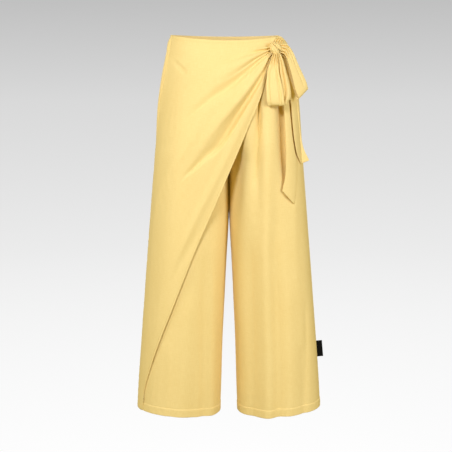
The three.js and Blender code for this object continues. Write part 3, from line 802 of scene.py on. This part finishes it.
def cloth_material(name, light, dark, roughness):
    """Plain woven cloth: threads of uneven thickness each way, soft mottling and a faint sheen."""
    material, nodes, links, shader = new_material(name)
    place = cloth_place(nodes)

    def noise(scale, stretch, detail=2.0):
        mapping = add_node(nodes, "Mapping", Scale=(*stretch, 1))
        links.new(place, mapping.inputs["Vector"])
        node = add_node(nodes, "TexNoise", Scale=scale, Detail=detail)
        links.new(mapping.outputs["Vector"], node.inputs["Vector"])
        return node.outputs["Fac"]

    def math_node(kind, a, b):
        node = add_node(nodes, "Math")
        node.operation = kind
        for socket, value in zip(node.inputs, (a, b)):
            if isinstance(value, (int, float)):
                socket.default_value = value
            else:
                links.new(value, socket)
        return node.outputs["Value"]

    def threads(direction):
        scale = 1 / (2 * math.pi * THREAD_PITCH) * math.pi / 10
        node = add_node(nodes, "TexWave", Scale=scale, Distortion=0.8, Detail=1.0)
        node.bands_direction = direction
        links.new(place, node.inputs["Vector"])
        return node.outputs["Fac"]

    slubs = math_node("ADD", noise(900, (1, 0.06)), noise(900, (0.06, 1)))
    cloudy = noise(9, (1, 1), 3.0)
    tone = math_node("ADD", math_node("MULTIPLY", slubs, 0.45), math_node("MULTIPLY", cloudy, 0.25))
    ramp = add_node(nodes, "ValToRGB")
    for stop, position, colour in zip(ramp.color_ramp.elements, (0.42, 0.72), (dark, light)):
        stop.position = position
        stop.color = (*colour, 1)
    links.new(tone, ramp.inputs["Fac"])
    links.new(ramp.outputs["Color"], shader.inputs["Base Color"])
    weave = math_node("MAXIMUM", threads("X"), threads("Y"))
    height = math_node("ADD", math_node("MULTIPLY", weave, 0.5), slubs)
    add_bump(nodes, links, height, 0.16, 0.0003)
    set_inputs(shader, Roughness=roughness, Specular_IOR_Level=0.25)
    set_inputs(shader, Sheen_Weight=0.12, Sheen_Roughness=0.5)
    return material


CLOTH_LIGHT = (0.915, 0.715, 0.325)
CLOTH_DARK = (0.86, 0.65, 0.27)
cloth = cloth_material("woven_cloth", CLOTH_LIGHT, CLOTH_DARK, 0.82)
thread = cloth_material("sewing_thread", (0.87, 0.66, 0.27), (0.8, 0.58, 0.21), 0.8)


# The four leg panels
def panel_levels():
    top = -BAND - SEAM
    band_side = top - np.array([0, 0.5, 1.2, 2.2, 4, 7])
    bottom = -OUTSEAM
    hem = bottom + np.array([26, 23, 21.4, 20.6, 20, 19.4, 18.6, 16, 12, 8, 4.5, 2, 0.7, 0])
    middle = np.linspace(band_side[-1], hem[0], 205)[1:-1]
    return np.concatenate([band_side, middle, hem])


def seam_ditch(distance):
    """How far the cloth sinks toward a seam."""
    return -DITCH["depth"] * hump(distance, 0, DITCH["width"])


def side_rib(from_side):
    """The back sinks at the right side seam and stands out beside it."""
    groove = SIDE_LINE["groove"] * hump(from_side, 0, 1.6)
    return SIDE_LINE["rib"] * skewed(from_side - 7.5, 3.6, 9) + groove


def sewing_relief(from_side, from_inner, z, seed):
    """Seam ditches, the puckers beside them, and the hem's stitched step."""
    from_hem = z + OUTSEAM
    relief = seam_ditch(from_side) + seam_ditch(from_inner) + seam_ditch(-BAND - z)
    outer = np.exp(-from_side / PUCKER["reach"]) * ripple(z / 11, seed)
    inner = np.exp(-from_inner / PUCKER["reach"]) * ripple(z / 12, seed + 1)
    relief = relief + PUCKER["rise"] * (outer + inner) * fall(z, -60, -90)
    stitched = -0.25 * hump(from_hem, HEM, 0.9) + 0.12 * (1 - smooth(from_hem, HEM - 1, HEM + 1))
    twist = (from_side + 0.6 * from_hem) / 13
    roping = 0.28 * ripple(twist, seed + 2) * hump(from_hem, HEM / 2, 9)
    return relief + stitched + roping


def rumple(across_cloth, z, seed):
    """Soft uneven dents of worn cloth."""
    first = ripple((z + 0.8 * across_cloth) / 31, seed)
    return first * ripple((across_cloth - 0.5 * z) / 26, seed + 2)


def hem_thickness(z):
    return WALL + 0.7 * (1 - smooth(z + OUTSEAM, HEM - 1.5, HEM + 0.5))


def leg_panel(name, side, is_front):
    z = panel_levels()[:, None]
    u = near_edges(78, 300)[None, :]
    crease = mark("front_crease", z) if is_front else mark("length", z) - mark("back_crease", z)
    width = mark("seam", z) if is_front else mark("length", z) - mark("seam", z)
    ends = 0.05
    run = ends + across(u, crease, crease_x(z), width - 2 * ends)
    at = run if is_front else mark("length", z) - run
    folds = FRONT_FOLDS + FINE_FRONT if is_front else BACK_FOLDS + FINE_BACK
    fine = sewing_relief(width - run, run, z, (3 if is_front else 5) + side)
    fine = fine + 0.28 * rumple(run, z, 4 + side + 3 * is_front)
    if name == "back_right":
        fine = fine + side_rib(width - run) * (1 - fall(z, SIDE_LINE["from"], SIDE_LINE["to"]))
    points = body_point(side, at, z, folds, fine)
    obj = shell(name + "_cloth", points, side if is_front else -side, cloth, hem_thickness(z) + 0 * run)
    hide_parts(name)
    return obj, points


LEG_PANELS = (
    ("front_left", 1, True),
    ("front_right", -1, True),
    ("back_left", 1, False),
    ("back_right", -1, False),
)
panels = {name: leg_panel(name, side, is_front) for name, side, is_front in LEG_PANELS}


# The waistband
def waistband(name, is_front):
    lower = BAND - np.array([4, 2.2, 1.2, 0.5, 0])
    z = -np.concatenate([[0, 0.4, 1, 2, 4], np.linspace(6, BAND - 6, 12), lower])[:, None]
    edges = near_edges(70, 150)
    u = np.concatenate([-edges[:0:-1], edges])[None, :]
    side = np.where(u < 0, -1, 1)
    seam = mark("seam", z)
    far = seam - 0.05 if is_front else seam + 0.05
    near = 0 * seam if is_front else mark("length", z)
    at = mix(near, far, np.abs(u))
    from_side = np.abs(at - seam)
    ripples = 0.25 * ripple(side * at / 17, 4) * hump(z, -BAND / 2, 14)
    fine = seam_ditch(from_side) + seam_ditch(z + BAND) + ripples
    fine = fine - 0.3 * hump(z, -4, 0.8)
    rib = side_rib(from_side) * fall(z, 0, -20) * (0 if is_front else 1)
    left = body_point(1, at, z, (), fine)
    right = body_point(-1, at, z, (), fine + rib)
    points = np.where((side > 0)[..., None], left, right)
    points[..., 0] = np.where(u == 0, 0, points[..., 0])
    obj = shell(name + "_cloth", points, 1 if is_front else -1, cloth, WALL + 0.5)
    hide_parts(name)
    return obj, points


for name, is_front in (("waistband_front", True), ("waistband_back", False)):
    panels[name] = waistband(name, is_front)


# The wrap
def wrap_grid():
    u = np.concatenate([[0, 0.0012, 0.003, 0.006], np.linspace(0.011, 1, 164)])
    beside_hem = EDGE_HEM + np.array([4, 1.5, 0.6, 0, -0.6, -1.5])
    edge = 1 - np.concatenate([beside_hem, [8, 4, 1.5, 0.5, 0]]) / WRAP_LENGTH
    v = np.concatenate([[0, 0.0015, 0.004, 0.007], np.linspace(0.01, edge[0], 185)[:-1], edge])
    return u[None, :], v[:, None]


def wrap_panel():
    u, v = wrap_grid()
    from_waist = down_distance(wrap_point(u, v))
    from_edge = from_waist[-1:] - from_waist
    distance, level = wrap_plan(u, v)
    from_side = distance + seam_distance(level)
    below_top = fall(level, POCKET["top"], POCKET["top"] - POCKET["fade"])
    mouth = below_top * (1 - fall(level, POCKET["end"] + POCKET["fade"], POCKET["end"]))
    fine = SIDE_LINE["dip"] * hump(from_side, 0, 3) * (1 - fall(level, SIDE_LINE["from"], SIDE_LINE["to"]))
    fine = fine + POCKET["gape"] * mouth * hump(from_side, 7, 4)
    fine = fine + 0.35 * np.exp(-from_side / 12) * ripple(level / 14, 2)
    fine = fine + rumple(from_side, level, 7) * (0.22 + 0.4 * np.exp(-from_side / 70)) * fall(level, -20, -90)
    fine = fine - 0.2 * hump(from_edge, EDGE_HEM, 1.1) * smooth(u, 0, 0.03)
    twist = (u * WRAP_WIDTH + 0.5 * from_edge) / 15
    fine = fine + 0.3 * ripple(twist, 6) * hump(from_edge, EDGE_HEM / 2, 6)
    fine = fine - 0.3 * hump(from_waist, TOP_STITCH, 1.0)
    points = wrap_point(u, v, fine)
    thickness = WALL + 0.6 * (1 - smooth(from_edge, EDGE_HEM - 1.5, EDGE_HEM + 0.5))
    obj = shell("wrap_panel_cloth", points, -1, cloth, thickness)
    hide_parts("wrap_panel")
    return obj, points


panels["wrap_panel"] = wrap_panel()


# The tie
def strap(name, rows, columns, steps, depth_at, relief):
    """A strap between two edges. relief is how far it stands forward at each place."""
    u = near_edges(columns, 30, (0.3, 0.8, 1.6))[None, :]
    v = np.linspace(0, 1, steps)[:, None]
    numbered = dict(rows, i=np.arange(len(rows["left_x"]), dtype=float))
    pick = lambda key: column(numbered, "i", key, v * (len(rows["left_x"]) - 1))
    x = mix(pick("left_x"), pick("right_x"), u)
    z = mix(pick("left_z"), pick("right_z"), u)
    y = depth_at(pick, u, x, z) - relief(u, v)
    points = np.stack(np.broadcast_arrays(x, y, z), axis=-1)
    obj = shell(name + "_cloth", points, -1, cloth, STRAP_WALL)
    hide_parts(name)
    return obj, points


def hanging(pick, u, x, z):
    return mix(pick("left_y"), pick("right_y"), u)


def lying(pick, u, x, z):
    return -cover_depth(x, z) - pick("lift")


def crown(u):
    return 1 - (2 * u - 1) ** 2


def gathers(u, v, count, start):
    """Rounded ridges with sharp valleys between them."""
    wander = u + 0.04 * np.sin(v * 9 + start) + 0.015 * np.sin(v * 31 + start)
    return 2 * np.abs(np.sin(math.pi * count * wander + start)) - 1


def front_loop_relief(u, v):
    """The front leaf has a strip turned back along its left; the back leaf stays gathered."""
    face = 1 - smooth(v, 0.42, 0.5)
    strip = 3 * (1 - smooth(u, 0.17, 0.25)) * face * smooth(v, 0.03, 0.12)
    near_knot = 3.4 * (1 - smooth(v, 0.04, 0.2)) * gathers(u, v, 3, 0.5)
    right_fold = 2 * gathers(u, v, 3, 2.2) * smooth(u, 0.45, 0.7) * face * smooth(v, 0.05, 0.2)
    back = 4 * smooth(v, 0.54, 0.66) * gathers(u, v, 3.5, 1.1)
    return 2.6 * crown(u) * face - strip + near_knot + right_fold + back


def side_loop_relief(u, v):
    face = 1 - smooth(v, 0.42, 0.5)
    near_knot = 4.0 * (1 - smooth(np.minimum(v, 1 - v), 0.05, 0.24)) * gathers(u, v, 3, 1.9)
    fold = 2.4 * hump(u, 0.72, 0.06) * smooth(v, 0.05, 0.12) * (1 - smooth(v, 0.3, 0.4))
    return 2.8 * crown(u) * face - fold + near_knot


def tail_relief(u, v):
    near_knot = 1.6 * (1 - smooth(v, 0.02, 0.25)) * gathers(u, v, 2, 0.8)
    return 1.2 * crown(u) + near_knot + 0.35 * np.sin(v * 17) * (2 * u - 1)


def root_relief(u, v):
    return 3.4 * (2 * np.abs(np.sin(3 * math.pi * u + 0.7 + 0.5 * v)) - 1) * smooth(v, 0, 0.1)


STRAPS = (
    ("bow_loop_front", FRONT_LOOP, 44, 190, hanging, front_loop_relief),
    ("bow_loop_side", SIDE_LOOP, 44, 190, hanging, side_loop_relief),
    ("tie_tail_long", LONG_TAIL, 26, 170, lying, tail_relief),
    ("tie_tail_short", SHORT_TAIL, 26, 150, lying, tail_relief),
    ("tie_root", TIE_ROOT, 48, 60, lying, root_relief),
)
for name, *shape in STRAPS:
    panels[name] = strap(name, *shape)


# The knot: a core with bands of the strap wound round it
KNOT_BANDS = table("tilt shift width thick pleats", [
    (44, 0, 23.6, -1.2, 0),
    (36, -5.2, 14.6, 3.6, 3),
    (46, 8.8, 9, 2.6, 2),
])


def knot():
    size = np.array([KNOT["width"], KNOT["depth"], KNOT["height"]]) / 2
    centre = np.array([KNOT["x"], KNOT["y"], KNOT["z"]])
    around = np.linspace(0, 2 * math.pi, 97)[:-1]
    parts = []
    for tilt, shift, width, thick, pleats in zip(*KNOT_BANDS.values()):
        angle = math.radians(tilt)
        along = np.array([math.sin(angle), 0, -math.cos(angle)])
        beside = np.array([math.cos(angle), 0, math.sin(angle)])
        w = np.linspace(-1, 1, 33)[:, None]
        offset = shift + w * width / 2
        reach = np.sqrt(np.maximum(1 - (offset / size[0]) ** 2, KNOT_CORE["least"]))
        groove = np.abs(np.sin((w + 0.15 * np.sin(around + tilt)) * math.pi * pleats / 2))
        crest = thick * (1 - w ** 6) + KNOT_CORE["groove"] * groove * (1 - w ** 4)
        radius_along = size[2] * KNOT_CORE["share"] * reach + crest
        radius_front = size[1] * KNOT_CORE["share"] * reach + crest
        points = (
            centre
            + beside * offset[..., None]
            + along * (radius_along * np.cos(around))[..., None]
            + np.array([0, -1, 0]) * (radius_front * np.sin(around))[..., None]
        )
        parts.append(points)
    return parts


def ring_quads(rows, columns, first=0):
    """Quads between rings of points, with the last column joined to the first."""
    index = first + np.arange(rows * columns).reshape(rows, columns)
    right = np.roll(index, -1, axis=1)
    return np.stack([index[:-1], right[:-1], right[1:], index[1:]], axis=-1).reshape(-1, 4)


def closed_bands(name, parts, material):
    """Rings of cloth, joined in one mesh."""
    points, quads, uvs = [], [], []
    base = 0
    for part in parts:
        rows, columns = part.shape[:2]
        quads.append(ring_quads(rows, columns, base))
        points.append(part.reshape(-1, 3))
        uvs.append(arc_grid(part).reshape(-1, 2))
        base += rows * columns
    obj = make_mesh(name, np.concatenate(points), np.concatenate(quads), np.concatenate(uvs), material)
    return obj


knot_object = closed_bands("bow_knot_cloth", knot(), cloth)
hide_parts("bow_knot")


# Rows of stitches
def grid_row(points, face, values, at):
    """A line across a grid where a value of each column passes at."""
    normals = grid_normals(points, face)
    line, ups = [], []
    for j in range(points.shape[1]):
        order = np.argsort(values[:, j])
        line.append([np.interp(at, values[order, j], points[order, j, k]) for k in range(3)])
        ups.append([np.interp(at, values[order, j], normals[order, j, k]) for k in range(3)])
    return np.array(line), np.array(ups)


for name, side, is_front in LEG_PANELS:
    points = panels[name][1]
    levels = np.broadcast_to(panel_levels()[:, None], points.shape[:2])
    path, ups = grid_row(points, side if is_front else -side, levels, -OUTSEAM + HEM)
    stitches(name + "_hem_stitches", path, ups, thread)

wrap_points = panels["wrap_panel"][1]
from_waist = down_distance(wrap_points)
from_edge = from_waist[-1:] - from_waist
path, ups = grid_row(wrap_points, -1, from_edge, EDGE_HEM)
stitches("wrap_edge_stitches", path[3:-4], ups[3:-4], thread)
path, ups = grid_row(wrap_points, -1, from_waist, TOP_STITCH)
stitches("wrap_waist_stitches", path[1:-6], ups[1:-6], thread)


# The label
def label():
    material, nodes, links, shader = new_material("label_tape")
    set_inputs(shader, Base_Color=(0.003, 0.003, 0.0035, 1), Roughness=0.75, Specular_IOR_Level=0.12)
    wave = add_node(nodes, "TexWave", Scale=600)
    wave.bands_direction = "Y"
    links.new(cloth_place(nodes), wave.inputs["Vector"])
    add_bump(nodes, links, wave.outputs["Fac"], 0.3, 0.0002)
    turn = np.linspace(0, 1, 61)[None, :]
    down = np.linspace(0, 1, 61)[:, None]
    half_round = 0.5 - np.abs(turn - 0.5)
    reach = smooth(half_round, -0.02, 0.5)
    out = LABEL["width"] * np.minimum(half_round * 2 / 0.96, 1)
    layer = LABEL["thickness"] / 2 * np.clip((turn - 0.5) / 0.03, -1, 1)
    bow = 0.35 * np.sin(down * math.pi) * reach
    x = out + 0 * down
    y = layer * (1 - 0.35 * (1 - reach)) - LABEL["thickness"] / 2 + bow
    z = -LABEL["height"] * down + 0 * turn
    lean = -LABEL["lean"]
    points = np.stack(
        [
            LABEL["x"] + x * math.cos(lean) + z * math.sin(lean),
            LABEL["y"] + y + 0 * z,
            LABEL["top"] - x * math.sin(lean) + z * math.cos(lean),
        ],
        axis=-1,
    )
    obj = shell("label_tab_tape", points, 1, material, 0.3)
    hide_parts("label_tab")


label()


# Studio: a pale floor that curves up into a backdrop all round. The backdrop is no lamp but glows, and its
# tone is painted light: white on the floor, greying higher up as if the light fell off there
def backdrop():
    floor, radius, curve, top = -1.5, 6.5, 1.2, 3.5
    steepness = 2.6  # how much faster the tone changes with height than along the floor
    level_end = radius - curve
    profile = [(r, floor) for r in np.linspace(0.0002, level_end, 16)]
    for a in np.linspace(0, math.pi / 2, 12)[1:]:
        profile.append((level_end + curve * math.sin(a), floor + curve - curve * math.cos(a)))
    for z in np.linspace(floor + curve, top, 10)[1:]:
        profile.append((radius, z))
    profile = np.array(profile)
    turn = np.linspace(0, 2 * math.pi, 97)[:-1]
    points = np.stack(
        [profile[:, :1] * np.cos(turn), profile[:, :1] * np.sin(turn), profile[:, 1:2] + 0 * turn], axis=-1
    )
    quads = ring_quads(*points.shape[:2])
    mesh = bpy.data.meshes.new("backdrop")
    mesh.from_pydata(points.reshape(-1, 3).tolist(), [], quads.tolist())
    mesh.polygons.foreach_set("use_smooth", np.ones(len(mesh.polygons), dtype=bool))
    material, nodes, links, shader = new_material("backdrop_painted_glow")
    nodes.remove(shader)
    place = add_node(nodes, "TexCoord")
    split = add_node(nodes, "SeparateXYZ")
    links.new(place.outputs["Object"], split.inputs["Vector"])
    length = add_node(nodes, "VectorMath")
    length.operation = "LENGTH"
    flat = add_node(nodes, "VectorMath")
    flat.operation = "MULTIPLY"
    flat.inputs[1].default_value = (1, 1, 0)
    links.new(place.outputs["Object"], flat.inputs[0])
    links.new(flat.outputs["Vector"], length.inputs[0])
    along = add_node(nodes, "Math")
    along.operation = "MULTIPLY_ADD"
    along.inputs[1].default_value = steepness
    links.new(split.outputs["Z"], along.inputs[0])
    links.new(length.outputs["Value"], along.inputs[2])
    first, last = 1.2 + floor * steepness, radius + 0.35 * steepness
    spread = add_node(nodes, "MapRange", From_Min=first, From_Max=last)
    links.new(along.outputs["Value"], spread.inputs["Value"])
    # Painted light and shade: the glow's grey deepens with height, in place of real falloff of the lamps
    ramp = add_node(nodes, "ValToRGB")
    stops = ramp.color_ramp.elements
    stops[0].position, stops[0].color = 0.0, (0.99, 0.99, 0.99, 1)
    stops[1].position, stops[1].color = 1.0, (0.51, 0.51, 0.51, 1)
    for position, grey in ((0.52, 0.8), (0.78, 0.695)):
        stops.new(position).color = (grey, grey, grey, 1)
    links.new(spread.outputs["Result"], ramp.inputs["Fac"])
    # The backdrop glows with this painted light and shade and is not lit by the lamps
    glow = add_node(nodes, "Emission")
    links.new(ramp.outputs["Color"], glow.inputs["Color"])
    links.new(glow.outputs["Emission"], nodes["Material Output"].inputs["Surface"])
    mesh.materials.append(material)
    obj = bpy.data.objects.new("backdrop", mesh)
    bpy.context.scene.collection.objects.link(obj)
    obj.visible_diffuse = False
    obj.visible_glossy = False
    obj.visible_transmission = False
    obj.visible_shadow = False


backdrop()


def area_light(name, place, aim, size, power, colour=(1, 1, 1)):
    data = bpy.data.lights.new(name, "AREA")
    data.shape = "RECTANGLE"
    data.size, data.size_y = size
    data.energy = power
    data.color = colour
    obj = bpy.data.objects.new(name, data)
    obj.location = place
    direction = np.array(aim, float) - np.array(place, float)
    yaw = math.atan2(direction[0], -direction[1])
    pitch = math.atan2(math.hypot(direction[0], direction[1]), -direction[2])
    obj.rotation_euler = (pitch, 0, yaw + math.pi)
    bpy.context.scene.collection.objects.link(obj)


LAMP = (0.89, 0.905, 1)
area_light("key", (-0.9, -2.8, 1.3), (0, 0, -0.42), (0.7, 0.7), 66, LAMP)
area_light("fill", (2.1, -2.1, 0.2), (0, 0, -0.55), (1.0, 1.6), 46.5, LAMP)
area_light("back", (0.9, 2.7, 0.5), (0, 0, -0.5), (1.2, 1.6), 34, LAMP)
area_light("side", (-2.4, -1.0, 0.3), (0, 0, -0.5), (0.8, 1.6), 20, LAMP)

world = bpy.data.worlds.new("studio")
bpy.context.scene.world = world
world.use_nodes = True
set_inputs(world.node_tree.nodes["Background"], Color=(1, 0.85, 0.16, 1), Strength=0.33)

scene = bpy.context.scene
scene.view_settings.view_transform = "Standard"

# The camera, at the photograph's angle
ELEVATION = math.radians(9)
DISTANCE = 3.0
AIM = (-0.0075, 0.0, -0.471)
camera_data = bpy.data.cameras.new("camera")
camera_data.sensor_width = 36
camera_data.lens = 95.575
camera = bpy.data.objects.new("camera", camera_data)
camera.location = (AIM[0], -DISTANCE * math.cos(ELEVATION), AIM[2] + DISTANCE * math.sin(ELEVATION))
camera.rotation_euler = (math.pi / 2 - ELEVATION, 0, 0)
scene.collection.objects.link(camera)
scene.camera = camera
